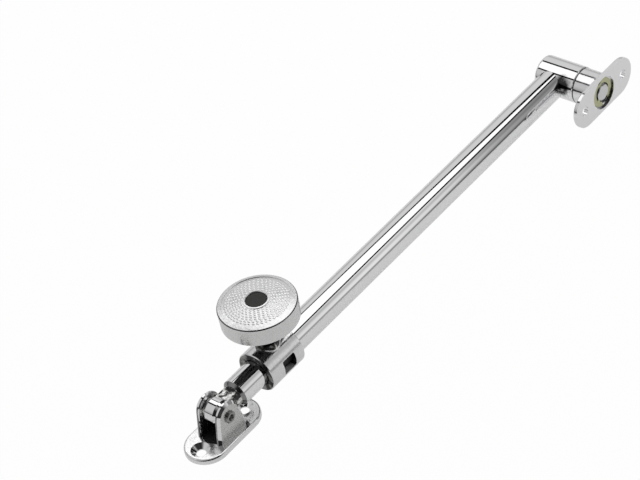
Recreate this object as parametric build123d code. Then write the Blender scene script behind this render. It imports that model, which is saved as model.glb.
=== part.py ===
"""Telescopic lid stay with a clamping knob.

A cast base bracket pins the eye of an inner rod. The rod slides in an outer tube, a hand
knob on the tube's collar clamps it at any length, and a swivelling flange at the far end
takes the second pair of screws.

Frame, in millimetres: the origin is the middle of the base bracket's mounting face, right
below the pivot pin. +X runs along the rod and the tube, +Z points up from the mounting face
and out through the knob, and the flange faces -Y.
"""
import os
from math import pi, sin

from build123d import *

os.makedirs("parts", exist_ok=True)

# ---------------------------------------------------------------- fits
SEAT_GAP = 0.02             # radial gap of pieces pressed, brazed or screwed together
RUNNING_GAP = 0.05          # radial gap of pieces that turn or slide in one another
SIDE_GAP = 0.2              # gap beside a piece that turns between two faces
FREE_GAP = 0.3              # radial gap where a piece passes without being guided
END_PLAY = 0.1              # axial play of a piece trapped between two shoulders
OVERSHOOT = 1.0             # how far cutters and joined ends run past a face

# ---------------------------------------------------------------- base bracket
PIN_HEIGHT = 12.8           # pivot pin's axis above the mounting face
PLATE_LENGTH = 39.5
PLATE_WIDTH = 20.0
PLATE_THICKNESS = 2.5
PLATE_ROUNDING = 0.9        # rounded upper rim of the plate
BASE_HOLE_SPACING = 28.0
BASE_HOLE_DIAMETER = 4.3
BASE_SINK_DIAMETER = 8.4
BASE_SINK_DEPTH = 2.0
EAR_THICKNESS = 2.3
EAR_RADIUS = 6.6            # rounded top of each ear
EAR_RISE = 0.3              # middle of that round above the pin's axis
EAR_FOOT_LENGTH = 17.4
EAR_BEVEL = 1.1             # bevel round each ear's outer face
EAR_INNER_BEVEL = 0.4       # bevel round its inner face

# ---------------------------------------------------------------- pivot pin
PIN_DIAMETER = 5.4
PIN_STAND_OUT = 1.1         # how far the staked ends stand proud of the ears
PIN_DIMPLE_DIAMETER = 3.0
PIN_DIMPLE_FLOOR = 1.8      # diameter at the dimple's floor
PIN_DIMPLE_DEPTH = 1.3
PIN_EDGE = 0.4

# ---------------------------------------------------------------- rod
ROD_PLAY = 0.2              # radial gap between the rod and the tube round it
ROD_SHOULDER = 10.3         # from the pin's axis to the rod's end face
ROD_END_CHAMFER = 1.35
EYE_DIAMETER = 11.2
EYE_WIDTH = 8.4
EYE_TAPER_LENGTH = 2.1      # the drum eye tapers towards either side
EYE_TAPER_DEPTH = 1.0
TONGUE_WIDTH = 8.0
TONGUE_HEIGHT = 6.4
TONGUE_CHAMFER = 0.4
SPIGOT_DIAMETER = 7.0       # turned-down inner end that carries the guide ring
GUIDE_RING_LENGTH = 8.0
GUIDE_SCREW_DIAMETER = 4.0
GUIDE_SCREW_LENGTH = 14.0
GUIDE_TAPPING_RESERVE = 2.0 # tapped hole beyond the screw's tip
GUIDE_HEAD_DIAMETER = 9.0
GUIDE_HEAD_HEIGHT = 2.6
GUIDE_SLOT_WIDTH = 1.2
GUIDE_SLOT_DEPTH = 1.2
TRAVEL = 140.0              # how far the stay extends

# ---------------------------------------------------------------- outer tube and collar
TUBE_DIAMETER = 14.0
TUBE_WALL = 0.5
COLLAR_START = 25.4         # from the pin's axis to the collar's open end
COLLAR_LENGTH = 20.5
COLLAR_WALL = 2.6           # from the tube's outside to the collar's
COLLAR_CHAMFER = 0.35
COLLAR_LIP = 1.6            # lip that keeps the brake liner in
TUBE_SEAT_LENGTH = 4.5      # how deep the tube sits in the collar
WINDOW_LENGTH = 7.4
WINDOW_HEIGHT = 7.2
WINDOW_OFFSET = 7.5         # from the collar's open end to the window
WINDOW_CORNER = 0.8
BOSS_DIAMETER = 10.5        # boss on the collar that holds the clamp stud's thread
BOSS_HEIGHT = 2.6           # boss above the collar's crown
BOSS_ROOT = 0.8

# ---------------------------------------------------------------- brake and knob
LINER_SLIT = 1.2
PAD_HEIGHT = 2.0
PAD_LIFT = 0.3              # gap between the pad and the liner when the brake is off
PAD_CHAMFER = 0.25
STUD_DIAMETER = 6.0
STUD_TIP_CHAMFER = 0.6
KNOB_OFFSET = 9.6           # from the collar's open end to the knob's axis
KNOB_DIAMETER = 34.2
KNOB_FOOT_DIAMETER = 33.9   # the side wall draws in slightly towards the foot
KNOB_GAP = 11.1             # from the collar's boss to the knob's foot
KNOB_RIM_HEIGHT = 9.2
KNOB_DOME_RISE = 2.0        # crown of the face above the rim
KNOB_EDGE = 0.7
KNOB_FIELD_INNER = 11.2     # sunk field of the face, between a middle and an outer border
KNOB_FIELD_OUTER = 30.6
KNOB_FIELD_DEPTH = 0.25
KNOB_WALL = 2.2
KNOB_RECESS_DEPTH = 5.6
HUB_DIAMETER = 8.0
HUB_CLEARANCE = 2.4         # hub's end above the collar's boss
PLUG_DIAMETER = 9.2
PLUG_HEIGHT = 3.6
PLUG_SINK = 0.5             # plug's face below the crown
PLUG_CHAMFER = 0.35
PLUG_HOLE_CHAMFER = 0.45    # bright chamfer round the plug's hole

# ---------------------------------------------------------------- elbow
SWIVEL_X = 247.0            # swivel's axis from the pivot pin, closed
BARREL_DIAMETER = 17.5
BARREL_FAR_END = 8.1        # closed end, on the side away from the flange
BARREL_SEAM = -13.2         # face that the flange's boss turns against
BARREL_END_ROUNDING = 1.3
BARREL_SEAM_CHAMFER = 0.3
SOCKET_INSET = 0.8          # bottom of the tube's socket, short of the barrel's axis

# ---------------------------------------------------------------- flange and swivel
SWIVEL_WASHER_THICKNESS = 0.3
BOSS_STEP = 0.3             # radial step down from the barrel to the flange's boss
FLANGE_FACE = -25.3         # outer face of the flange
FLANGE_THICKNESS = 2.1
FLANGE_LENGTH = 44.4
FLANGE_WIDTH = 18.8
FLANGE_ROUNDING = 0.9       # rounded back edge of the flange
FLANGE_ROOT = 0.9
FLANGE_HOLE_SPACING = 30.4
FLANGE_HOLE_DIAMETER = 4.7
RECESS_DIAMETER = 16.0      # recess for the retaining clip
SWIVEL_PIN_DIAMETER = 8.0
SWIVEL_PIN_SEAT = 5.0       # how deep the swivel pin is pressed into the elbow
SWIVEL_PIN_SINK = 0.35      # pin's end below the flange's face
SWIVEL_PIN_TIP = 0.6        # pin beyond its groove
SWIVEL_PIN_CHAMFER = 0.3
GROOVE_DIAMETER = 7.0
CLIP_THICKNESS = 0.8
CLIP_DIAMETER = 14.3
CLIP_RELIEF_DIAMETER = 9.6  # inner edge of the clip between its lugs
CLIP_LUG_WIDTH = 2.2
CLIP_LUG_ANGLE = 60.0       # from the opening to the nearer lugs
CLIP_OPENING = 4.4
CLIP_NOTCH_WIDTH = 2.0
CLIP_NOTCH_DEPTH = 1.3
CLIP_ANGLE = -76.0          # direction of the clip's opening, from +X towards +Z
SPRING_WASHER_THICKNESS = 0.25

# ---------------------------------------------------------------- stations worked out
EAR_GAP = EYE_WIDTH + 2 * SIDE_GAP
EAR_OUTER = EAR_GAP / 2 + EAR_THICKNESS
COLLAR_DIAMETER = TUBE_DIAMETER + 2 * COLLAR_WALL
COLLAR_END = COLLAR_START + COLLAR_LENGTH
COLLAR_BORE = TUBE_DIAMETER + 2 * SEAT_GAP
TUBE_START = COLLAR_END - TUBE_SEAT_LENGTH
TUBE_BORE = TUBE_DIAMETER - 2 * TUBE_WALL
TUBE_END = SWIVEL_X - SOCKET_INSET - END_PLAY
ROD_DIAMETER = TUBE_BORE - 2 * ROD_PLAY
LINER_START = COLLAR_START + COLLAR_LIP + END_PLAY
LINER_END = TUBE_START - END_PLAY
LINER_DIAMETER = COLLAR_BORE - 2 * RUNNING_GAP
LINER_BORE = ROD_DIAMETER + 2 * RUNNING_GAP
ROD_END = LINER_END + TRAVEL
SPIGOT_END = ROD_END + GUIDE_RING_LENGTH
GUIDE_SCREW_TIP = SPIGOT_END - GUIDE_SCREW_LENGTH
GUIDE_TAPPING_END = GUIDE_SCREW_TIP - GUIDE_TAPPING_RESERVE
WINDOW_START = COLLAR_START + WINDOW_OFFSET
KNOB_X = COLLAR_START + KNOB_OFFSET
PAD_BOTTOM = LINER_DIAMETER / 2 + PAD_LIFT
STUD_BOTTOM = PAD_BOTTOM + PAD_HEIGHT
BOSS_TOP = COLLAR_DIAMETER / 2 + BOSS_HEIGHT
KNOB_FOOT = BOSS_TOP + KNOB_GAP
KNOB_RIM_TOP = KNOB_FOOT + KNOB_RIM_HEIGHT
KNOB_CROWN = KNOB_RIM_TOP + KNOB_DOME_RISE
HUB_BOTTOM = BOSS_TOP + HUB_CLEARANCE
PLUG_TOP = KNOB_CROWN - PLUG_SINK
PLUG_SEAT = PLUG_TOP - PLUG_HEIGHT
BOSS_START = BARREL_SEAM - SWIVEL_WASHER_THICKNESS
FLANGE_BACK = FLANGE_FACE + FLANGE_THICKNESS
CLIP_FRONT = FLANGE_FACE + SWIVEL_PIN_SINK + SWIVEL_PIN_TIP
CLIP_BACK = CLIP_FRONT + CLIP_THICKNESS
RECESS_FLOOR = CLIP_BACK + SPRING_WASHER_THICKNESS

# Places of the turned pieces' own axes: each puts a piece's local Z on the axis named.
ON_ROD_AXIS = Pos(0, 0, PIN_HEIGHT) * Rot(0, 90, 0)
ON_PIN_AXIS = Pos(0, 0, PIN_HEIGHT) * Rot(-90, 0, 0)
ON_KNOB_AXIS = Pos(KNOB_X, 0, PIN_HEIGHT)
ON_SWIVEL_AXIS = Pos(SWIVEL_X, 0, PIN_HEIGHT) * Rot(-90, 0, 0)


# ---------------------------------------------------------------- helpers
def turned(place, *outline):
    """Spin a closed outline of (radius, station) corners about its local Z axis."""
    corners = [(radius, 0, station) for radius, station in outline]
    return place * revolve(make_face(Polyline(*corners, close=True)), Axis.Z)


def bar(place, diameter, start, end, chamfer_start=0.0, chamfer_end=0.0):
    """Round bar along the local Z axis, with a chamfer at either end."""
    radius = diameter / 2
    outline = [(0, start), (radius - chamfer_start, start)]
    if chamfer_start:
        outline.append((radius, start + chamfer_start))
    if chamfer_end:
        outline.append((radius, end - chamfer_end))
    outline += [(radius - chamfer_end, end), (0, end)]
    return turned(place, *outline)


def ring(place, outer, inner, start, end):
    """Plain ring along the local Z axis."""
    return turned(place, (inner / 2, start), (outer / 2, start), (outer / 2, end), (inner / 2, end))


def save(shape, name):
    """Write one sub-part to its own STEP file."""
    export_step(shape, os.path.join("parts", name + ".step"))


# ---------------------------------------------------------------- base bracket and pivot pin
def ear():
    """One ear on the -Y side: a round top that runs down in tangents to a wide foot."""
    top = Pos(0, PIN_HEIGHT + EAR_RISE) * Circle(EAR_RADIUS)
    foot = Line((-EAR_FOOT_LENGTH / 2, PLATE_THICKNESS), (EAR_FOOT_LENGTH / 2, PLATE_THICKNESS))
    profile = make_hull(top.edges() + foot.edges())
    blank = extrude(Plane.XZ.offset(EAR_GAP / 2) * profile, EAR_THICKNESS)
    for face_index, bevel in ((0, EAR_BEVEL), (-1, EAR_INNER_BEVEL)):
        rim = [
            edge
            for edge in blank.faces().sort_by(Axis.Y)[face_index].edges()
            if edge.center().Z > PLATE_THICKNESS + bevel
        ]
        blank = chamfer(rim, bevel)
    return blank


def countersunk_hole(x):
    """Cutter for one screw hole: a plain hole under a cone that opens at the plate's top."""
    hole = BASE_HOLE_DIAMETER / 2
    sink = BASE_SINK_DIAMETER / 2
    sink_bottom = PLATE_THICKNESS - BASE_SINK_DEPTH
    return turned(
        Pos(x, 0, 0),
        (0, -OVERSHOOT),
        (hole, -OVERSHOOT),
        (hole, sink_bottom),
        (sink, PLATE_THICKNESS),
        (sink, PLATE_THICKNESS + OVERSHOOT),
        (0, PLATE_THICKNESS + OVERSHOOT),
    )


def make_base_bracket():
    """Cast bracket: a stadium plate with two ears that hold the pin."""
    plate = extrude(SlotOverall(PLATE_LENGTH, PLATE_WIDTH), PLATE_THICKNESS)
    plate = fillet(plate.faces().sort_by(Axis.Z)[-1].edges(), PLATE_ROUNDING)
    near_ear = ear()
    bracket = plate + near_ear + mirror(near_ear, Plane.XZ)
    reach = EAR_OUTER + OVERSHOOT
    bracket -= bar(ON_PIN_AXIS, PIN_DIAMETER + 2 * SEAT_GAP, -reach, reach)
    for side in (-1, 1):
        bracket -= countersunk_hole(side * BASE_HOLE_SPACING / 2)
    return bracket


def make_pivot_pin():
    """Rivet pin with a staked, dimpled end at either side."""
    half = EAR_OUTER + PIN_STAND_OUT
    pin = bar(ON_PIN_AXIS, PIN_DIAMETER, -half, half, PIN_EDGE, PIN_EDGE)
    dimple = PIN_DIMPLE_DIAMETER / 2
    floor = half - PIN_DIMPLE_DEPTH
    for side in (-1, 1):
        pin -= turned(
            ON_PIN_AXIS,
            (0, side * floor),
            (PIN_DIMPLE_FLOOR / 2, side * floor),
            (dimple, side * half),
            (dimple, side * (half + OVERSHOOT)),
            (0, side * (half + OVERSHOOT)),
        )
    return pin


# ---------------------------------------------------------------- rod
def make_rod():
    """Solid rod: drum eye, flat tongue, chamfered shoulder, and a spigot at the inner end."""
    rod = bar(ON_ROD_AXIS, ROD_DIAMETER, ROD_SHOULDER, ROD_END, ROD_END_CHAMFER)
    rod += bar(ON_ROD_AXIS, SPIGOT_DIAMETER, ROD_END - OVERSHOOT, SPIGOT_END)
    section = Rectangle(TONGUE_HEIGHT, TONGUE_WIDTH)
    section = chamfer(section.vertices(), TONGUE_CHAMFER)
    rod += ON_ROD_AXIS * extrude(section, ROD_SHOULDER + ROD_END_CHAMFER)
    eye = EYE_DIAMETER / 2
    half = EYE_WIDTH / 2
    rod += turned(
        ON_PIN_AXIS,
        (0, -half),
        (eye - EYE_TAPER_DEPTH, -half),
        (eye, EYE_TAPER_LENGTH - half),
        (eye, half - EYE_TAPER_LENGTH),
        (eye - EYE_TAPER_DEPTH, half),
        (0, half),
    )
    rod -= bar(ON_PIN_AXIS, PIN_DIAMETER + 2 * RUNNING_GAP, -EYE_WIDTH, EYE_WIDTH)
    tapping = GUIDE_SCREW_DIAMETER + 2 * SEAT_GAP
    rod -= bar(ON_ROD_AXIS, tapping, GUIDE_TAPPING_END, SPIGOT_END + OVERSHOOT)
    return rod


def make_guide_ring():
    """Ring that guides the rod's inner end in the tube and stops it at the brake liner."""
    outer = TUBE_BORE - 2 * RUNNING_GAP
    return ring(ON_ROD_AXIS, outer, SPIGOT_DIAMETER + 2 * SEAT_GAP, ROD_END, SPIGOT_END)


def make_guide_screw():
    """Slotted screw that holds the guide ring on the rod's spigot."""
    head_top = SPIGOT_END + GUIDE_HEAD_HEIGHT
    shank = bar(ON_ROD_AXIS, GUIDE_SCREW_DIAMETER, GUIDE_SCREW_TIP, SPIGOT_END)
    head = bar(ON_ROD_AXIS, GUIDE_HEAD_DIAMETER, SPIGOT_END, head_top, 0, PIN_EDGE)
    slot = Box(2 * GUIDE_SLOT_DEPTH, GUIDE_SLOT_WIDTH, GUIDE_HEAD_DIAMETER + OVERSHOOT)
    return shank + head - Pos(head_top, 0, PIN_HEIGHT) * slot


# ---------------------------------------------------------------- tube and collar
def make_outer_tube():
    """Thin drawn tube from the collar to the elbow."""
    return ring(ON_ROD_AXIS, TUBE_DIAMETER, TUBE_BORE, TUBE_START, TUBE_END)


def make_collar():
    """Collar on the tube's open end, with the stud's boss on top and a window in its side."""
    collar = bar(
        ON_ROD_AXIS, COLLAR_DIAMETER, COLLAR_START, COLLAR_END, COLLAR_CHAMFER, COLLAR_CHAMFER
    )
    boss = bar(ON_KNOB_AXIS, BOSS_DIAMETER, 0, BOSS_TOP, 0, COLLAR_CHAMFER)
    collar += boss
    root = collar.edges().filter_by(GeomType.BSPLINE)
    collar = fillet(root, BOSS_ROOT)
    mouth = ROD_DIAMETER / 2 + FREE_GAP
    collar -= turned(
        ON_ROD_AXIS,
        (0, COLLAR_START - OVERSHOOT),
        (mouth, COLLAR_START - OVERSHOOT),
        (mouth, COLLAR_START + COLLAR_LIP),
        (COLLAR_BORE / 2, COLLAR_START + COLLAR_LIP),
        (COLLAR_BORE / 2, COLLAR_END + OVERSHOOT),
        (0, COLLAR_END + OVERSHOOT),
    )
    opening = RectangleRounded(WINDOW_LENGTH, WINDOW_HEIGHT, WINDOW_CORNER)
    middle = Pos(WINDOW_START + WINDOW_LENGTH / 2, 0, PIN_HEIGHT)
    collar -= middle * extrude(Plane.XZ * opening, COLLAR_DIAMETER)
    collar -= bar(ON_KNOB_AXIS, STUD_DIAMETER + 2 * RUNNING_GAP, 0, BOSS_TOP + OVERSHOOT)
    return collar


# ---------------------------------------------------------------- brake and knob
def make_brake_liner():
    """Thin split sleeve in the collar that the pad squeezes onto the rod."""
    liner = ring(ON_ROD_AXIS, LINER_DIAMETER, LINER_BORE, LINER_START, LINER_END)
    slit = Box(LINER_END - LINER_START + OVERSHOOT, LINER_SLIT, LINER_DIAMETER)
    return liner - Pos((LINER_START + LINER_END) / 2, 0, PIN_HEIGHT - LINER_DIAMETER / 2) * slit


def make_pressure_pad():
    """Small disc between the stud's tip and the liner."""
    return bar(
        ON_KNOB_AXIS, STUD_DIAMETER, PAD_BOTTOM, PAD_BOTTOM + PAD_HEIGHT, PAD_CHAMFER, PAD_CHAMFER
    )


def make_clamp_stud():
    """Threaded stud, drawn at its outside diameter, fixed in the knob's hub."""
    return bar(ON_KNOB_AXIS, STUD_DIAMETER, STUD_BOTTOM, PLUG_SEAT, STUD_TIP_CHAMFER)


def make_knob():
    """Cast knob: domed face, drawn-in side wall, hollow underside and a long hub."""
    rim = KNOB_DIAMETER / 2
    foot = KNOB_FOOT_DIAMETER / 2
    corner = rim - KNOB_EDGE
    crown = ThreePointArc(
        (0, 0, KNOB_CROWN),
        (corner / 2, 0, KNOB_CROWN - KNOB_DOME_RISE / 4),
        (corner, 0, KNOB_RIM_TOP),
    )
    shoulder = KNOB_EDGE * sin(pi / 4)
    edge = ThreePointArc(
        (corner, 0, KNOB_RIM_TOP),
        (corner + shoulder, 0, KNOB_RIM_TOP - KNOB_EDGE + shoulder),
        (rim, 0, KNOB_RIM_TOP - KNOB_EDGE),
    )
    wall = Polyline(
        (rim, 0, KNOB_RIM_TOP - KNOB_EDGE),
        (foot, 0, KNOB_FOOT + KNOB_EDGE),
        (foot - KNOB_EDGE, 0, KNOB_FOOT),
        (foot - KNOB_WALL, 0, KNOB_FOOT),
        (foot - KNOB_WALL - KNOB_EDGE, 0, KNOB_FOOT + KNOB_RECESS_DEPTH),
        (HUB_DIAMETER / 2 + KNOB_EDGE, 0, KNOB_FOOT + KNOB_RECESS_DEPTH),
        (HUB_DIAMETER / 2, 0, KNOB_FOOT + KNOB_RECESS_DEPTH - KNOB_EDGE),
        (HUB_DIAMETER / 2, 0, HUB_BOTTOM),
        (0, 0, HUB_BOTTOM),
        (0, 0, KNOB_CROWN),
    )
    knob = ON_KNOB_AXIS * revolve(make_face([crown, edge] + wall.edges()), Axis.Z)
    sunk = KNOB_FIELD_DEPTH
    dome_sides = Polyline(
        (corner, 0, KNOB_RIM_TOP), (corner, 0, KNOB_FOOT), (0, 0, KNOB_FOOT), (0, 0, KNOB_CROWN)
    )
    dome = revolve(make_face([crown] + dome_sides.edges()), Axis.Z)
    band = ring(Pos(0, 0, 0), KNOB_FIELD_OUTER, KNOB_FIELD_INNER, KNOB_RIM_TOP - sunk, KNOB_CROWN)
    knob -= ON_KNOB_AXIS * (band - Pos(0, 0, -sunk) * dome)
    stud_hole = STUD_DIAMETER / 2 + SEAT_GAP
    plug_hole = PLUG_DIAMETER / 2 + SEAT_GAP
    knob -= turned(
        ON_KNOB_AXIS,
        (0, HUB_BOTTOM - OVERSHOOT),
        (stud_hole, HUB_BOTTOM - OVERSHOOT),
        (stud_hole, PLUG_SEAT),
        (plug_hole, PLUG_SEAT),
        (plug_hole, KNOB_CROWN - PLUG_HOLE_CHAMFER),
        (plug_hole + PLUG_HOLE_CHAMFER + OVERSHOOT, KNOB_CROWN + OVERSHOOT),
        (0, KNOB_CROWN + OVERSHOOT),
    )
    return knob


def make_knob_plug():
    """Plastic plug that closes the hole over the stud."""
    return bar(ON_KNOB_AXIS, PLUG_DIAMETER, PLUG_SEAT, PLUG_TOP, 0, PLUG_CHAMFER)


# ---------------------------------------------------------------- elbow and swivel
def make_elbow():
    """Barrel across the tube's end, closed and rounded on the side away from the flange."""
    elbow = bar(ON_SWIVEL_AXIS, BARREL_DIAMETER, BARREL_SEAM, BARREL_FAR_END, BARREL_SEAM_CHAMFER)
    far_rim = elbow.edges().filter_by(GeomType.CIRCLE).sort_by(Axis.Y)[-1]
    elbow = fillet(far_rim, BARREL_END_ROUNDING)
    socket = bar(ON_ROD_AXIS, COLLAR_BORE, SWIVEL_X - BARREL_DIAMETER, SWIVEL_X - SOCKET_INSET)
    pin_seat = bar(
        ON_SWIVEL_AXIS,
        SWIVEL_PIN_DIAMETER + 2 * SEAT_GAP,
        BARREL_SEAM - OVERSHOOT,
        BARREL_SEAM + SWIVEL_PIN_SEAT + END_PLAY,
    )
    return elbow - socket - pin_seat


def make_swivel_pin():
    """Pin pressed into the elbow, with a groove for the retaining clip."""
    radius = SWIVEL_PIN_DIAMETER / 2
    start = FLANGE_FACE + SWIVEL_PIN_SINK
    return turned(
        ON_SWIVEL_AXIS,
        (0, start),
        (radius - SWIVEL_PIN_CHAMFER, start),
        (radius, start + SWIVEL_PIN_CHAMFER),
        (radius, CLIP_FRONT),
        (GROOVE_DIAMETER / 2, CLIP_FRONT),
        (GROOVE_DIAMETER / 2, RECESS_FLOOR),
        (radius, RECESS_FLOOR),
        (radius, BARREL_SEAM + SWIVEL_PIN_SEAT),
        (0, BARREL_SEAM + SWIVEL_PIN_SEAT),
    )


def make_swivel_washer():
    """Thin washer between the elbow and the flange's boss."""
    outer = BARREL_DIAMETER - 2 * BOSS_STEP
    inner = SWIVEL_PIN_DIAMETER + 2 * SEAT_GAP
    return ring(ON_SWIVEL_AXIS, outer, inner, BOSS_START, BARREL_SEAM)


def make_flange():
    """Stadium flange with a round boss behind it and a recess for the clip in its face."""
    plate = extrude(SlotOverall(FLANGE_LENGTH, FLANGE_WIDTH), FLANGE_THICKNESS)
    plate = fillet(plate.faces().sort_by(Axis.Z)[-1].edges(), FLANGE_ROUNDING)
    flange = ON_SWIVEL_AXIS * Pos(0, 0, FLANGE_FACE) * plate
    boss = BARREL_DIAMETER - 2 * BOSS_STEP
    root = FLANGE_WIDTH / 2 - FLANGE_ROUNDING
    flange += turned(
        ON_SWIVEL_AXIS,
        (0, FLANGE_BACK - FLANGE_THICKNESS / 2),
        (root, FLANGE_BACK - FLANGE_THICKNESS / 2),
        (root, FLANGE_BACK),
        (boss / 2, FLANGE_BACK + FLANGE_ROOT),
        (boss / 2, BOSS_START - BARREL_SEAM_CHAMFER),
        (boss / 2 - BARREL_SEAM_CHAMFER, BOSS_START),
        (0, BOSS_START),
    )
    pin_bore = SWIVEL_PIN_DIAMETER + 2 * RUNNING_GAP
    front = FLANGE_FACE - OVERSHOOT
    flange -= bar(ON_SWIVEL_AXIS, pin_bore, front, BOSS_START + OVERSHOOT)
    flange -= bar(ON_SWIVEL_AXIS, RECESS_DIAMETER, front, RECESS_FLOOR)
    for side in (-1, 1):
        hole_place = ON_SWIVEL_AXIS * Pos(side * FLANGE_HOLE_SPACING / 2, 0, 0)
        flange -= bar(hole_place, FLANGE_HOLE_DIAMETER, front, FLANGE_BACK + OVERSHOOT)
    return flange


def make_spring_washer():
    """Thin washer that takes up the play behind the retaining clip."""
    outer = CLIP_DIAMETER
    inner = SWIVEL_PIN_DIAMETER + 2 * SEAT_GAP
    return ring(ON_SWIVEL_AXIS, outer, inner, CLIP_BACK, RECESS_FLOOR)


def make_retaining_clip():
    """E-shaped clip: an open ring whose three lugs sit in the swivel pin's groove."""
    reach = CLIP_DIAMETER / 2
    groove = GROOVE_DIAMETER / 2 + SEAT_GAP
    blank = Circle(reach) - Circle(CLIP_RELIEF_DIAMETER / 2)
    lug_length = (reach + CLIP_RELIEF_DIAMETER / 2) / 2
    lug = Pos(lug_length / 2, 0) * Rectangle(lug_length, CLIP_LUG_WIDTH)
    for turn in (CLIP_LUG_ANGLE, 180, -CLIP_LUG_ANGLE):
        blank += Rot(0, 0, turn) * lug
    blank -= Circle(groove)
    blank -= Pos(reach, 0) * Rectangle(2 * reach, CLIP_OPENING)
    blank -= Pos(-reach, 0) * Rectangle(2 * CLIP_NOTCH_DEPTH, CLIP_NOTCH_WIDTH)
    clip = ON_SWIVEL_AXIS * Pos(0, 0, CLIP_FRONT) * Rot(0, 0, -CLIP_ANGLE)
    return clip * extrude(blank, CLIP_THICKNESS)


# ---------------------------------------------------------------- the assembly
PIECES = {
    "base_bracket": make_base_bracket,
    "pivot_pin": make_pivot_pin,
    "rod": make_rod,
    "guide_ring": make_guide_ring,
    "guide_screw": make_guide_screw,
    "outer_tube": make_outer_tube,
    "collar": make_collar,
    "brake_liner": make_brake_liner,
    "pressure_pad": make_pressure_pad,
    "clamp_stud": make_clamp_stud,
    "knob": make_knob,
    "knob_plug": make_knob_plug,
    "elbow": make_elbow,
    "swivel_pin": make_swivel_pin,
    "swivel_washer": make_swivel_washer,
    "flange": make_flange,
    "spring_washer": make_spring_washer,
    "retaining_clip": make_retaining_clip,
}

for piece_name, make_piece in PIECES.items():
    save(make_piece(), piece_name)
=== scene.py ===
"""Looks for the lid stay: polished chrome castings and tube, a knob face embossed with beads,
a passivated retaining clip, and a plain white studio with an overhead panel and a front wall."""

from math import cos, pi, radians, sin

import bpy
from mathutils import Matrix, Vector


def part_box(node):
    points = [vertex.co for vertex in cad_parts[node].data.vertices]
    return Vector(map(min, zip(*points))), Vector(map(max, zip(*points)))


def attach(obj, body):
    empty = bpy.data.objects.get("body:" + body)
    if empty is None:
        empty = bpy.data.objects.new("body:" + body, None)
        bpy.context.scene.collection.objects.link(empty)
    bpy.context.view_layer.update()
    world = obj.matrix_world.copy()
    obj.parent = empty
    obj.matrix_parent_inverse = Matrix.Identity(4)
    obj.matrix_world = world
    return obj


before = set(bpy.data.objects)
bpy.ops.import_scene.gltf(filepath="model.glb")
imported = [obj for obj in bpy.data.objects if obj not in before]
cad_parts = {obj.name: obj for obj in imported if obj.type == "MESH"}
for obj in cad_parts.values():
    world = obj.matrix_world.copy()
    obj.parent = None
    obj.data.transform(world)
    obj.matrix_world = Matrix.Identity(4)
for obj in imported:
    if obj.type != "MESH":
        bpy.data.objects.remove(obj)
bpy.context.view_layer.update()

MM = 0.001


# ---------------------------------------------------------------- places read from the frame
def centre(node):
    """Middle of a CAD node's box."""
    low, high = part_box(node)
    return (low + high) / 2


tube_axis = centre("outer_tube")
knob_axis = centre("knob")
rod_axis_z = centre("rod").z
knob_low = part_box("knob")[0]
collar_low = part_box("collar")[0]
elbow_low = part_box("elbow")[0]


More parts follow.
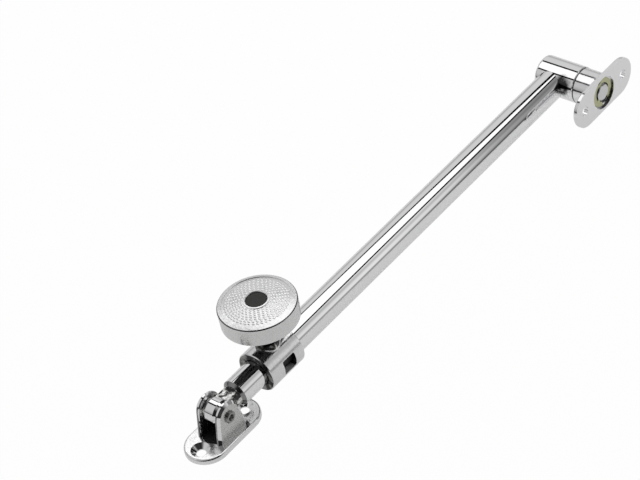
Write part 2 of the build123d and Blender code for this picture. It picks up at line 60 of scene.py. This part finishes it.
# ---------------------------------------------------------------- node helpers
class Shader:
    """A material's node tree, with short calls to add and join nodes."""

    def __init__(self, name):
        self.material = bpy.data.materials.new(name)
        self.material.use_nodes = True
        self.tree = self.material.node_tree
        self.tree.nodes.clear()
        self.output = self.add("ShaderNodeOutputMaterial")

    def add(self, kind, **values):
        """A new node; values set its sockets or its own settings."""
        node = self.tree.nodes.new(kind)
        for key, value in values.items():
            if hasattr(node, key):
                setattr(node, key, value)
            else:
                node.inputs[key.replace("_", " ")].default_value = value
        return node

    def join(self, source, target):
        """Link two sockets."""
        self.tree.links.new(source, target)

    def points(self, scale=(1, 1, 1), turn=(0, 0, 0), move=(0, 0, 0)):
        """Object coordinates in metres, scaled, turned and moved."""
        place = self.add("ShaderNodeTexCoord")
        mapping = self.add("ShaderNodeMapping")
        mapping.inputs["Scale"].default_value = scale
        mapping.inputs["Rotation"].default_value = turn
        mapping.inputs["Location"].default_value = move
        self.join(place.outputs["Object"], mapping.inputs["Vector"])
        return mapping.outputs["Vector"]

    def noise(self, vector, scale, detail=3.0, roughness=0.5):
        """Noise of that scale per metre."""
        node = self.add("ShaderNodeTexNoise")
        node.inputs["Scale"].default_value = scale
        node.inputs["Detail"].default_value = detail
        node.inputs["Roughness"].default_value = roughness
        self.join(vector, node.inputs["Vector"])
        return node.outputs["Fac"]

    def between(self, factor, low, high, start=0.0, end=1.0):
        """A factor from start to end mapped to a value from low to high."""
        node = self.add("ShaderNodeMapRange")
        node.inputs["From Min"].default_value = start
        node.inputs["From Max"].default_value = end
        node.inputs["To Min"].default_value = low
        node.inputs["To Max"].default_value = high
        self.join(factor, node.inputs["Value"])
        return node.outputs["Result"]

    def tones(self, factor, stops):
        """A value that runs smoothly through the stops, each a factor and its value."""
        low = stops[0][0]
        high = stops[-1][0]
        ramp = self.add("ShaderNodeValToRGB")
        points = ramp.color_ramp.elements
        for index, (place, value) in enumerate(stops):
            share = (place - low) / (high - low)
            point = points[index] if index < 2 else points.new(share)
            point.position = share
            point.color = (value, value, value, 1)
        self.join(self.between(factor, 0, 1, low, high), ramp.inputs["Fac"])
        return ramp.outputs["Color"]

    def shades(self, factor, dark, light):
        """A colour from dark to light by a factor."""
        node = self.add("ShaderNodeMix", data_type="RGBA")
        self.join(factor, node.inputs["Factor"])
        node.inputs[6].default_value = (*dark, 1)
        node.inputs[7].default_value = (*light, 1)
        return node.outputs[2]

    def vary_roughness(self, surface, grain, least, most, start=0.3):
        """Let a grain's values from start to 0.7 set a roughness from least to most."""
        self.join(self.between(grain, least, most, start, 0.7), surface.inputs["Roughness"])

    def bump(self, height, depth, under=None):
        """Bump of that depth in metres, laid over another bump."""
        node = self.add("ShaderNodeBump")
        node.inputs["Distance"].default_value = depth
        self.join(height, node.inputs["Height"])
        if under is not None:
            self.join(under, node.inputs["Normal"])
        return node.outputs["Normal"]

    def principled(self, **values):
        """The surface shader, wired to the output."""
        node = self.add("ShaderNodeBsdfPrincipled")
        for key, value in values.items():
            node.inputs[key.replace("_", " ")].default_value = value
        self.join(node.outputs[0], self.output.inputs["Surface"])
        return node


# ---------------------------------------------------------------- finishes
# Grain of the finishes, in features a metre.
RIPPLES = 120
PITS = 900
DIMPLES = 800
# spots that break up the edge of the painted shade in the elbow's inner corner
SHADE_SPOTS = 420
TUBE_WAVES = 90
DRAW_LINES = 1400
DRAW_HAZE = 2500
TOOL_RINGS = 5000
MOULD_GRAIN = 3500
RIPPLE_DEPTH = 0.03 * MM


def plated_casting(name, colour, roughness, ripple=RIPPLE_DEPTH):
    """Chrome over a polished casting: soft ripples, and fine pitting under the plate."""
    m = Shader(name)
    surface = m.principled(Metallic=1.0, Base_Color=(*colour, 1))
    place = m.points()
    m.vary_roughness(surface, m.noise(place, PITS, 4), roughness * 0.6, roughness * 1.6, 0.35)
    m.join(m.bump(m.noise(place, RIPPLES, 1), ripple), surface.inputs["Normal"])
    return m.material


def blotched_casting(name, dark, light, roughness, scale):
    """Rough cast metal that the plating reached in blotches of about that many a metre; the
    collar's near-black copy of it is painted shade with blotches in it.
    """
    m = Shader(name)
    surface = m.principled(Metallic=1.0, Roughness=roughness)
    blotches = m.noise(m.points(), scale, 2)
    light_share = m.between(blotches, 0, 1, 0.45, 0.62)
    m.join(m.shades(light_share, dark, light), surface.inputs["Base Color"])
    m.join(m.bump(blotches, 0.15 * MM), surface.inputs["Normal"])
    return m.material


def shaded_corner_casting(name, colour, dark, roughness, corner, clear):
    """Polished casting with shade painted dark round one inner corner, its edge broken up in
    spots.
    """
    m = Shader(name)
    surface = m.principled(Metallic=1.0)
    place = m.points()
    away = m.add("ShaderNodeVectorMath", operation="DISTANCE")
    m.join(place, away.inputs[0])
    away.inputs[1].default_value = corner
    light_share = m.add("ShaderNodeMath", operation="ADD")
    m.join(m.between(away.outputs["Value"], 0, 1.4, clear * 0.7, clear * 1.45), light_share.inputs[0])
    m.join(m.between(m.noise(place, SHADE_SPOTS, 2), -0.35, 0.35, 0.3, 0.7), light_share.inputs[1])
    share = m.between(light_share.outputs[0], 0, 1)
    m.join(m.shades(share, dark, colour), surface.inputs["Base Color"])
    m.vary_roughness(surface, m.noise(place, PITS, 4), roughness * 0.6, roughness * 1.6, 0.35)
    m.join(m.bump(m.noise(place, RIPPLES, 1), RIPPLE_DEPTH), surface.inputs["Normal"])
    return m.material


def hammered_chrome(name, colour, roughness, depth):
    """Chrome over a coined face: small shallow dimples that scatter what it mirrors."""
    m = Shader(name)
    surface = m.principled(Metallic=1.0, Base_Color=(*colour, 1))
    place = m.points()
    m.vary_roughness(surface, m.noise(place, PITS, 4), roughness * 0.8, roughness * 1.25, 0.35)
    dimples = m.bump(m.noise(place, DIMPLES, 1), depth)
    waves = m.bump(m.noise(place, RIPPLES, 1), 0.05 * MM, under=dimples)
    m.join(waves, surface.inputs["Normal"])
    return m.material


def plated_tube(name, colour, roughness, draw):
    """Chrome over drawn tube: faint lines along X and a slow waviness."""
    m = Shader(name)
    surface = m.principled(Metallic=1.0, Base_Color=(*colour, 1))
    along = m.points(scale=(0.02, 1, 1))
    m.vary_roughness(surface, m.noise(along, DRAW_HAZE, 3), roughness * 0.5, roughness * 1.8)
    lines = m.bump(m.noise(along, DRAW_LINES, 2), draw)
    slow = m.noise(m.points(scale=(0.25, 1, 1)), TUBE_WAVES, 1)
    m.join(m.bump(slow, draw * 4, under=lines), surface.inputs["Normal"])
    return m.material


def turned_steel(name, colour, roughness, axis_scale):
    """Turned steel with fine tool rings round the axis that axis_scale flattens."""
    m = Shader(name)
    surface = m.principled(Metallic=1.0, Base_Color=(*colour, 1))
    rings = m.noise(m.points(scale=axis_scale), TOOL_RINGS, 2)
    m.vary_roughness(surface, rings, roughness * 0.7, roughness * 1.4)
    m.join(m.bump(rings, 0.01 * MM), surface.inputs["Normal"])
    return m.material


def moulded_plastic(name, colour, roughness):
    """Moulded plastic with a fine matt grain."""
    m = Shader(name)
    surface = m.principled(Base_Color=(*colour, 1), Specular_IOR_Level=0.4)
    grain = m.noise(m.points(), MOULD_GRAIN, 3)
    m.vary_roughness(surface, grain, roughness * 0.85, roughness * 1.15)
    m.join(m.bump(grain, 0.02 * MM), surface.inputs["Normal"])
    return m.material


CHROME = (0.93, 0.93, 0.935)
# near black: the colour of the painted shade in the elbow's inner corner
CORNER_SHADE_COLOUR = (0.05, 0.05, 0.05)
ACROSS_TURNED = (1, 0.05, 1)        # tool rings of pieces turned about Y
UPRIGHT_TURNED = (1, 1, 0.05)       # and about Z
# middle and reach of the painted shade in the elbow's inner corner
SHADED_CORNER = Vector((2.3 * MM, -7.4 * MM, 2.5 * MM))
SHADED_CORNER_REACH = 4.6 * MM
elbow_shade_corner = Vector((elbow_low.x, tube_axis.y, tube_axis.z)) + SHADED_CORNER
cast_chrome = plated_casting("cast chrome", CHROME, 0.05)
knob_chrome = hammered_chrome("knob chrome", CHROME, 0.3, 0.05 * MM)
# elbow chrome with painted shade round its inner corner
elbow_chrome = shaded_corner_casting(
    "elbow chrome, painted corner shade", CHROME, CORNER_SHADE_COLOUR, 0.05, corner=elbow_shade_corner, clear=SHADED_CORNER_REACH
)
# darker chrome: painted shade on the ears' narrow ends
ear_shade = plated_casting("ear end, painted shade", (0.30, 0.30, 0.30), 0.14, 0.02 * MM)
flange_chrome = plated_casting("flange chrome", (0.90, 0.895, 0.905), 0.12)
tube_chrome = plated_tube("tube chrome", CHROME, 0.04, 0.0015 * MM)
# near black: under the knob partly unplated metal and partly painted shade; between the ears
# painted shade
unplated_and_shade_casting = moulded_plastic("unplated casting and painted shade", (0.02, 0.02, 0.021), 0.45)
# near black and blotched: painted shade in the collar's window, round its boss and in its mouth
painted_collar_shade = blotched_casting(
    "painted shade inside the collar", (0.02, 0.02, 0.02), (0.3, 0.3, 0.29), 0.3, 330
)
satin_cut = moulded_plastic("bright cut edge", (0.85, 0.85, 0.84), 0.4)
satin_end = plated_casting("satin end", CHROME, 0.3)
satin_plate = plated_casting("satin plate", CHROME, 0.14)
# satin finish, and darker than the other chrome as painted shade of what the ears' sides mirror
satin_shaded_ear = plated_casting("satin ear, painted shade", (0.66, 0.66, 0.65), 0.3, 0.012 * MM)
# dark chrome at the knob's rim: painted dark reflection
rim_dark_reflection_chrome = plated_casting("knob rim, painted dark reflection", (0.16, 0.16, 0.16), 0.12)
# dark chrome on the rod's end chamfer: painted dark reflection
bevel_dark_reflection_chrome = plated_casting("rod bevel, painted dark reflection", (0.30, 0.30, 0.30), 0.16, 0.02 * MM)
milled_flat = blotched_casting("milled flat", (0.04, 0.04, 0.04), (0.95, 0.95, 0.93), 0.2, 420)
collar_chrome = plated_casting("collar chrome", (0.84, 0.84, 0.84), 0.17, 0.04 * MM)
wall_chrome = plated_casting("knob wall chrome", (0.78, 0.78, 0.775), 0.2, 0.05 * MM)
pin_steel = turned_steel("pin steel", (0.72, 0.72, 0.73), 0.22, ACROSS_TURNED)
staked_steel = turned_steel("staked pin", (0.34, 0.34, 0.33), 0.3, ACROSS_TURNED)
dark_steel = turned_steel("dark steel", (0.12, 0.12, 0.12), 0.35, UPRIGHT_TURNED)
clip_zinc = turned_steel("yellow passivated steel", (0.52, 0.53, 0.33), 0.25, ACROSS_TURNED)
liner_black = moulded_plastic("black nylon", (0.015, 0.015, 0.015), 0.5)
plug_grey = moulded_plastic("dark grey plastic", (0.042, 0.042, 0.040), 0.55)
guide_white = moulded_plastic("natural acetal", (0.72, 0.71, 0.67), 0.4)
pad_brass = turned_steel("turned brass", (0.72, 0.55, 0.25), 0.2, UPRIGHT_TURNED)

NODE_FINISHES = {
    "base_bracket": cast_chrome,
    "pivot_pin": staked_steel,
    "rod": tube_chrome,
    "guide_ring": guide_white,
    "guide_screw": pin_steel,
    "outer_tube": tube_chrome,
    "collar": collar_chrome,
    "brake_liner": liner_black,
    "pressure_pad": pad_brass,
    "clamp_stud": dark_steel,
    "knob": knob_chrome,
    "knob_plug": plug_grey,
    "elbow": elbow_chrome,
    "swivel_pin": pin_steel,
    "swivel_washer": dark_steel,
    "flange": flange_chrome,
    "spring_washer": dark_steel,
    "retaining_clip": clip_zinc,
}

for node, finish in NODE_FINISHES.items():
    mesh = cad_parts[node].data
    mesh.materials.clear()
    mesh.materials.append(finish)


def repaint(node, finish, chosen):
    """Give a node's chosen polygons another finish."""
    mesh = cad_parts[node].data
    mesh.materials.append(finish)
    slot = len(mesh.materials) - 1
    for polygon in mesh.polygons:
        if chosen(polygon.center, polygon.normal):
            polygon.material_index = slot


HUB_TO_CROWN = 19.9 * MM      # the hub's end to the crown of the knob's face
KNOB_FACE_DEPTH = 11.2 * MM   # the foot of the knob's wall to that crown
KNOB_RECESS = 5.7 * MM
KNOB_UNDERSIDE = 16.6 * MM
KNOB_RIM = 16.3 * MM
BOSS_FOOT = 22.4 * MM
BOSS_REACH = 6.0 * MM
knob_crown = knob_low.z + HUB_TO_CROWN
knob_foot = knob_crown - KNOB_FACE_DEPTH
WINDOW_SIDE = 6 * MM          # the window's cut faces lie past that on the -Y side
WINDOW_HALF_HEIGHT = 3.7 * MM
MOUTH_DEPTH = 2 * MM
MOUTH_REACH = 7 * MM
TONGUE_START = 5.2 * MM
ROD_SHOULDER = 10.3 * MM      # the rod's end face and the chamfer round it
ROD_CHAMFER = 1.35 * MM
PLATE_TOP = 2.5 * MM
EAR_GAP_HALF = 4.7 * MM       # half the gap between the ears, its reach along X and its height
EAR_GAP_REACH = 9 * MM
EAR_INSIDE = 4.3 * MM
EAR_ROOT = 1 * MM
FLUSH = 0.02 * MM
SQUARE_ON = 0.95              # a normal's share along an axis that it all but follows


def under_knob(place, normal):
    """The hollow underside, the hub and the lower edge of the wall."""
    reach = (place.xy - knob_axis.xy).length
    return reach < KNOB_UNDERSIDE and place.z < knob_foot + KNOB_RECESS


def knob_wall(place, normal):
    """The knob's side wall."""
    return abs(normal.z) < 0.2 and place.z > knob_foot


def knob_rim(place, normal):
    """The rounding between the knob's face and its wall."""
    reach = (place.xy - knob_axis.xy).length
    return reach > KNOB_RIM and place.z > knob_foot + KNOB_RECESS and 0.3 < normal.z < 0.88


def window_cut(place, normal):
    """The cut faces of the window in the collar's wall."""
    side = abs(place.z - rod_axis_z)
    return place.y < -WINDOW_SIDE and side < WINDOW_HALF_HEIGHT and abs(normal.y) < 0.3


def window_sill(place, normal):
    """The window's lower cut face."""
    return window_cut(place, normal) and normal.z > 0.9 and place.z < rod_axis_z


def collar_boss(place, normal):
    """The boss that the stud runs through, in the shade of the knob."""
    reach = (place.xy - knob_axis.xy).length
    return place.z > BOSS_FOOT and reach < BOSS_REACH


def collar_mouth(place, normal):
    """The collar's open end and the short bore behind it."""
    reach = (place.yz - Vector((0, rod_axis_z))).length
    end = normal.x < -0.9 or reach < MOUTH_REACH
    return place.x < collar_low.x + MOUTH_DEPTH and end


def rod_bevel(place, normal):
    """The chamfer round the rod's end."""
    return ROD_SHOULDER < place.x < ROD_SHOULDER + ROD_CHAMFER and -SQUARE_ON < normal.x < -0.4


def rod_end(place, normal):
    """The flat end behind the eye."""
    return abs(place.x - ROD_SHOULDER) < FLUSH and normal.x < -SQUARE_ON


def tongue(place, normal):
    """The flat neck between the rod's end and the eye."""
    return TONGUE_START < place.x < ROD_SHOULDER and abs(normal.x) < 0.2


def ear_side(place, normal):
    """The ears' outer faces."""
    return place.z > PLATE_TOP and abs(normal.y) > SQUARE_ON


def ear_gap(place, normal):
    """The faces between the ears."""
    across = abs(place.y) < EAR_GAP_HALF
    return across and abs(place.x) < EAR_GAP_REACH and place.z < EAR_GAP_REACH


def ear_front(place, normal):
    """The ears' narrow ends on the bracket's open side."""
    on_ear = place.z > PLATE_TOP + EAR_ROOT and abs(place.y) > EAR_INSIDE
    return on_ear and normal.x < -0.8


def plate_top(place, normal):
    """The upper face of the base plate."""
    return abs(place.z - PLATE_TOP) < FLUSH and normal.z > SQUARE_ON


repaint("knob", wall_chrome, knob_wall)
# the knob's hollow underside: dark unplated casting that also stands in for the shade under the
# knob
repaint("knob", unplated_and_shade_casting, under_knob)
# painted dark reflection along the rounding of the knob's rim
repaint("knob", rim_dark_reflection_chrome, knob_rim)
# painted shade on the window's cut faces
repaint("collar", painted_collar_shade, window_cut)
repaint("collar", satin_cut, window_sill)
# painted shade round the boss under the knob and in the collar's mouth
repaint("collar", painted_collar_shade, collar_boss)
repaint("collar", painted_collar_shade, collar_mouth)
# painted dark reflection on the chamfer round the rod's end
repaint("rod", bevel_dark_reflection_chrome, rod_bevel)
repaint("rod", satin_end, rod_end)
repaint("rod", milled_flat, tongue)
repaint("base_bracket", satin_plate, plate_top)
# satin ear sides, darkened as painted shade
repaint("base_bracket", satin_shaded_ear, ear_side)
# painted shade on the ears' narrow ends
repaint("base_bracket", ear_shade, ear_front)
# painted shade: the faces between the ears made near black
repaint("base_bracket", unplated_and_shade_casting, ear_gap)


# ---------------------------------------------------------------- knob face
FIELD_START = 5.75 * MM      # the embossed field's inner and outer edge
FIELD_END = 15.1 * MM
ROW_PITCH = 1.17 * MM
BEAD_PITCH = 1.8 * MM        # along a row
BEAD_HALF_WIDTH = 0.83 * MM  # across the row, of the whole bead
BEAD_STRETCH = 1.3           # along the row
BEAD_HALF_HEIGHT = 0.45 * MM
BEAD_SUNK = 0.32 * MM        # the bead's middle lies that far under the field
BEAD_SEGMENTS = 14
BEAD_RINGS = 10
FIELD_SUNK = 0.25 * MM
DOME_RISE = 2.0 * MM
DOME_REACH = 16.4 * MM


def dome_drop(reach):
    """How far the knob's face lies below its crown at that distance from the axis."""
    return DOME_RISE * (reach / DOME_REACH) ** 2


def bead_places():
    """Middle and turn of every bead: rings that each start half a pitch on from the last."""
    places = []
    rows = int((FIELD_END - FIELD_START) / ROW_PITCH)
    for row in range(rows):
        reach = FIELD_START + (row + 0.5) * ROW_PITCH
        count = round(2 * pi * reach / BEAD_PITCH)
        slope = 2 * DOME_RISE * reach / DOME_REACH ** 2
        drop = dome_drop(reach) + FIELD_SUNK + BEAD_SUNK
        for step in range(count):
            turn = 2 * pi * (step + 0.5 * (row % 2)) / count
            middle = Vector((reach * cos(turn), reach * sin(turn), -drop))
            places.append((middle, (0, slope, turn)))
    return places


def bead_nodes(material):
    """Geometry nodes that set one low oval bead on each point of a mesh."""
    tree = bpy.data.node_groups.new("knob beads", "GeometryNodeTree")
    face = tree.interface
    face.new_socket("Geometry", in_out="INPUT", socket_type="NodeSocketGeometry")
    face.new_socket("Geometry", in_out="OUTPUT", socket_type="NodeSocketGeometry")
    sizes = {}
    for name in ("Half width", "Half length", "Half height"):
        sizes[name] = face.new_socket(name, in_out="INPUT", socket_type="NodeSocketFloat")
    nodes = tree.nodes
    links = tree.links
    given = nodes.new("NodeGroupInput")
    made = nodes.new("NodeGroupOutput")
    ball = nodes.new("GeometryNodeMeshUVSphere")
    ball.inputs["Segments"].default_value = BEAD_SEGMENTS
    ball.inputs["Rings"].default_value = BEAD_RINGS
    ball.inputs["Radius"].default_value = 1.0
    scale = nodes.new("ShaderNodeCombineXYZ")
    for name, axis in (("Half width", "X"), ("Half length", "Y"), ("Half height", "Z")):
        links.new(given.outputs[name], scale.inputs[axis])
    turn = nodes.new("GeometryNodeInputNamedAttribute")
    turn.data_type = "FLOAT_VECTOR"
    turn.inputs["Name"].default_value = "turn"
    spread = nodes.new("GeometryNodeInstanceOnPoints")
    links.new(given.outputs["Geometry"], spread.inputs["Points"])
    links.new(ball.outputs["Mesh"], spread.inputs["Instance"])
    links.new(turn.outputs["Attribute"], spread.inputs["Rotation"])
    links.new(scale.outputs[0], spread.inputs["Scale"])
    real = nodes.new("GeometryNodeRealizeInstances")
    links.new(spread.outputs["Instances"], real.inputs["Geometry"])
    smooth = nodes.new("GeometryNodeSetShadeSmooth")
    links.new(real.outputs["Geometry"], smooth.inputs["Geometry"])
    finish = nodes.new("GeometryNodeSetMaterial")
    finish.inputs["Material"].default_value = material
    links.new(smooth.outputs["Geometry"], finish.inputs["Geometry"])
    links.new(finish.outputs["Geometry"], made.inputs["Geometry"])
    return tree, sizes


def add_beads():
    """The embossed field of the knob's face, as one mesh that rides with the knob."""
    places = bead_places()
    crown = Vector((knob_axis.x, knob_axis.y, knob_crown))
    seeds = bpy.data.meshes.new("bead_seeds")
    seeds.from_pydata([crown + point for point, turn in places], [], [])
    turns = seeds.attributes.new("turn", "FLOAT_VECTOR", "POINT")
    for index, (point, turn) in enumerate(places):
        turns.data[index].vector = turn
    holder = bpy.data.objects.new("bead_seeds", seeds)
    bpy.context.scene.collection.objects.link(holder)
    tree, sizes = bead_nodes(knob_chrome)
    spread = holder.modifiers.new("beads", "NODES")
    spread.node_group = tree
    values = {
        "Half width": BEAD_HALF_WIDTH,
        "Half length": BEAD_HALF_WIDTH * BEAD_STRETCH,
        "Half height": BEAD_HALF_HEIGHT,
    }
    for name, value in values.items():
        spread[sizes[name].identifier] = value
    bpy.context.view_layer.update()
    evaluated = holder.evaluated_get(bpy.context.evaluated_depsgraph_get())
    mesh = bpy.data.meshes.new_from_object(evaluated)
    bpy.data.objects.remove(holder)
    piece = bpy.data.objects.new("knob_beads", mesh)
    bpy.context.scene.collection.objects.link(piece)
    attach(piece, "hand_knob")
    return piece


add_beads()


# ---------------------------------------------------------------- studio
WHITE = (1, 1, 1, 1)
FLOOR_HALF = 3.0
FLOOR_HEIGHT = -24 * MM       # below the knob's lowest swing, so that no pose cuts into the floor
PANEL_HEIGHT = 0.413
PANEL_CORNERS = ((0.590, -0.070), (0.170, 0.515), (0.020, 0.515), (0.090, -0.240))
PANEL_LIGHT = 1.12
PANEL_FRAME = 0.09
PANEL_FRAME_LIFT = 0.004
FRONT_WALL_Y = -0.6
FRONT_WALL_SPAN = (-0.6, 1.5)
FRONT_WALL_RISE = (0.0, 1.3)
FRONT_WALL_SLANT = 0.45      # the wall's shade leans that far along X for each metre up
FRONT_WALL_TONES = (
    (-0.15, 0.04), (0.15, 0.60), (0.38, 0.82), (0.47, 0.70),
    (0.50, 0.54), (0.53, 0.39), (0.57, 0.30), (0.65, 0.24),
)
FRONT_WALL_BANDS = ((0.10, 0.42), (0.16, 1.0), (0.34, 1.0), (0.45, 0.8), (0.62, 0.62), (0.95, 1.0))
FLOOR_PAPER = (0.8, 0.8, 0.8, 1)
FLOOR_FILL = 0.24            # even light that the floor adds in reflections
FLOOR_WHITE = 0.97           # share of plain white in the floor that the camera sees


def only_mirrored(m, glow):
    """Show the glow in reflections and as light, and leave it out of the camera's own view."""
    rays = m.add("ShaderNodeLightPath")
    clear = m.add("ShaderNodeBsdfTransparent")
    chosen = m.add("ShaderNodeMixShader")
    m.join(rays.outputs["Is Camera Ray"], chosen.inputs["Fac"])
    m.join(glow.outputs[0], chosen.inputs[1])
    m.join(clear.outputs[0], chosen.inputs[2])
    m.join(chosen.outputs[0], m.output.inputs["Surface"])


def emitter(name, colour, strength):
    """A plain glowing material."""
    m = Shader(name)
    only_mirrored(m, m.add("ShaderNodeEmission", Color=colour, Strength=strength))
    return m.material


def stage_face(name, corners, material):
    """A flat stage piece through four corners."""
    mesh = bpy.data.meshes.new(name)
    mesh.from_pydata([Vector(corner) for corner in corners], [], [(0, 1, 2, 3)])
    mesh.materials.append(material)
    piece = bpy.data.objects.new(name, mesh)
    bpy.context.scene.collection.objects.link(piece)
    return piece


def floor_material():
    """White paper: near white to the camera with a light shadow left in it, and softly lit."""
    m = Shader("white paper")
    rays = m.add("ShaderNodeLightPath")
    paper = m.add("ShaderNodeBsdfDiffuse", Color=FLOOR_PAPER)
    white = m.add("ShaderNodeEmission", Color=WHITE, Strength=1.0)
    fill = m.add("ShaderNodeEmission", Color=WHITE, Strength=FLOOR_FILL)
    lit = m.add("ShaderNodeAddShader")
    m.join(paper.outputs[0], lit.inputs[0])
    m.join(fill.outputs[0], lit.inputs[1])
    seen = m.add("ShaderNodeMixShader")
    seen.inputs["Fac"].default_value = FLOOR_WHITE
    m.join(lit.outputs[0], seen.inputs[1])
    m.join(white.outputs[0], seen.inputs[2])
    chosen = m.add("ShaderNodeMixShader")
    m.join(rays.outputs["Is Camera Ray"], chosen.inputs["Fac"])
    m.join(lit.outputs[0], chosen.inputs[1])
    m.join(seen.outputs[0], chosen.inputs[2])
    m.join(chosen.outputs[0], m.output.inputs["Surface"])
    return m.material


def front_wall_material():
    """Pale wall on the camera's side: dark behind the camera, shaded towards the elbow's end."""
    m = Shader("front wall")
    place = m.points()
    slant = m.add("ShaderNodeVectorMath", operation="DOT_PRODUCT")
    m.join(place, slant.inputs[0])
    slant.inputs[1].default_value = (1, 0, -FRONT_WALL_SLANT)
    split = m.add("ShaderNodeSeparateXYZ")
    m.join(place, split.inputs[0])
    product = m.add("ShaderNodeMath", operation="MULTIPLY")
    m.join(m.tones(slant.outputs["Value"], FRONT_WALL_TONES), product.inputs[0])
    m.join(m.tones(split.outputs["Z"], FRONT_WALL_BANDS), product.inputs[1])
    glow = m.add("ShaderNodeEmission", Color=WHITE)
    m.join(product.outputs[0], glow.inputs["Strength"])
    only_mirrored(m, glow)
    return m.material


def panel_corners(margin, lift):
    """The overhead panel's corners, with each edge moved outwards by a margin, lifted."""
    corners = [Vector(corner) for corner in PANEL_CORNERS]
    moved = []
    for index, corner in enumerate(corners):
        before = (corner - corners[index - 1]).normalized()
        after = (corners[(index + 1) % 4] - corner).normalized()
        outwards = Vector((before.y + after.y, -before.x - after.x))
        pushed = corner + outwards * margin / (1 + before.dot(after))
        moved.append((pushed.x, pushed.y, PANEL_HEIGHT + lift))
    return moved


floor_corners = [
    (sx * FLOOR_HALF, sy * FLOOR_HALF, FLOOR_HEIGHT)
    for sx, sy in ((-1, -1), (1, -1), (1, 1), (-1, 1))
]
stage_face("floor", floor_corners, floor_material())
stage_face("overhead_panel", panel_corners(0, 0), emitter("panel white", WHITE, PANEL_LIGHT))
stage_face(
    "panel_frame",
    panel_corners(PANEL_FRAME, PANEL_FRAME_LIFT),
    emitter("panel frame black", (0, 0, 0, 1), 0.0),
)
stage_face(
    "front_wall",
    [
        (FRONT_WALL_SPAN[0], FRONT_WALL_Y, FRONT_WALL_RISE[0]),
        (FRONT_WALL_SPAN[1], FRONT_WALL_Y, FRONT_WALL_RISE[0]),
        (FRONT_WALL_SPAN[1], FRONT_WALL_Y, FRONT_WALL_RISE[1]),
        (FRONT_WALL_SPAN[0], FRONT_WALL_Y, FRONT_WALL_RISE[1]),
    ],
    front_wall_material(),
)


# Light of the tent along one axis of the direction: from, to, and the light at both.
TENT_BACK = (-0.25, 0.25, 0.55, 1.0)            # along Y
TENT_RISE = (0.0, 0.45, 0.50, 0.82)             # along Z
BRACKET_END_SHADE = (-0.45, 0.05, 0.08, 1.0)    # along X
BRACKET_END_SHADE_TOP = (0.02, 0.14, 0.0, 0.85)  # along Z
CAMERA_SIDE = (-0.68, -0.73, 0)
CAMERA_SIDE_DUSK = (0.3, 0.7, 1.0, 0.05)        # along that direction


def studio_world():
    """Dim tent: pale behind the stay, shaded on the camera's side and at the bracket's end."""
    world = bpy.data.worlds.new("studio")
    world.use_nodes = True
    bpy.context.scene.world = world
    nodes = world.node_tree.nodes
    links = world.node_tree.links
    nodes.clear()
    direction = nodes.new("ShaderNodeTexCoord").outputs["Generated"]
    split = nodes.new("ShaderNodeSeparateXYZ")
    links.new(direction, split.inputs[0])

    def ramp(source, start, end, low, high):
        """A smooth change of light from low to high between two values of a socket."""
        node = nodes.new("ShaderNodeMapRange")
        node.interpolation_type = "SMOOTHSTEP"
        node.inputs["From Min"].default_value = start
        node.inputs["From Max"].default_value = end
        node.inputs["To Min"].default_value = low
        node.inputs["To Max"].default_value = high
        links.new(source, node.inputs["Value"])
        return node.outputs["Result"]

    def combine(operation, first, second):
        """Two lights put together by a maths operation."""
        node = nodes.new("ShaderNodeMath")
        node.operation = operation
        links.new(first, node.inputs[0])
        links.new(second, node.inputs[1])
        return node.outputs[0]

    x, y, z = (split.outputs[axis] for axis in "XYZ")
    tent = combine("MULTIPLY", ramp(y, *TENT_BACK), ramp(z, *TENT_RISE))
    shade = combine("MAXIMUM", ramp(x, *BRACKET_END_SHADE), ramp(z, *BRACKET_END_SHADE_TOP))
    towards = nodes.new("ShaderNodeVectorMath")
    towards.operation = "DOT_PRODUCT"
    towards.inputs[1].default_value = CAMERA_SIDE
    links.new(direction, towards.inputs[0])
    dusk = ramp(towards.outputs["Value"], *CAMERA_SIDE_DUSK)
    light = combine("MULTIPLY", combine("MULTIPLY", tent, shade), dusk)
    walls = nodes.new("ShaderNodeBackground")
    links.new(light, walls.inputs["Strength"])
    white = nodes.new("ShaderNodeBackground")
    white.inputs["Color"].default_value = WHITE
    rays = nodes.new("ShaderNodeLightPath")
    chosen = nodes.new("ShaderNodeMixShader")
    links.new(rays.outputs["Is Camera Ray"], chosen.inputs["Fac"])
    links.new(walls.outputs[0], chosen.inputs[1])
    links.new(white.outputs[0], chosen.inputs[2])
    output = nodes.new("ShaderNodeOutputWorld")
    links.new(chosen.outputs[0], output.inputs["Surface"])


studio_world()

# ---------------------------------------------------------------- camera
CAMERA_AZIMUTH = radians(-42.767)
CAMERA_ELEVATION = radians(40.561)
CAMERA_ROLL = radians(-12.589)
CAMERA_DISTANCE = 1.054
CAMERA_TARGET = Vector((0.1001, 0.0249, 0.0172))
CAMERA_LENS = 135.42


def add_camera():
    """Long lens from the knob side, above the bracket's end, with a slight roll."""
    back = Vector((
        cos(CAMERA_ELEVATION) * sin(CAMERA_AZIMUTH),
        -cos(CAMERA_ELEVATION) * cos(CAMERA_AZIMUTH),
        sin(CAMERA_ELEVATION),
    ))
    level = Vector((cos(CAMERA_AZIMUTH), sin(CAMERA_AZIMUTH), 0))
    upright = back.cross(level)
    right = level * cos(CAMERA_ROLL) + upright * sin(CAMERA_ROLL)
    up = back.cross(right)
    turn = Matrix((right, up, back)).transposed().to_4x4()
    data = bpy.data.cameras.new("camera")
    data.lens = CAMERA_LENS
    data.sensor_width = 36.0
    camera = bpy.data.objects.new("camera", data)
    camera.matrix_world = Matrix.Translation(CAMERA_TARGET + back * CAMERA_DISTANCE) @ turn
    bpy.context.scene.collection.objects.link(camera)
    bpy.context.scene.camera = camera


add_camera()

scene = bpy.context.scene
scene.view_settings.view_transform = "Standard"
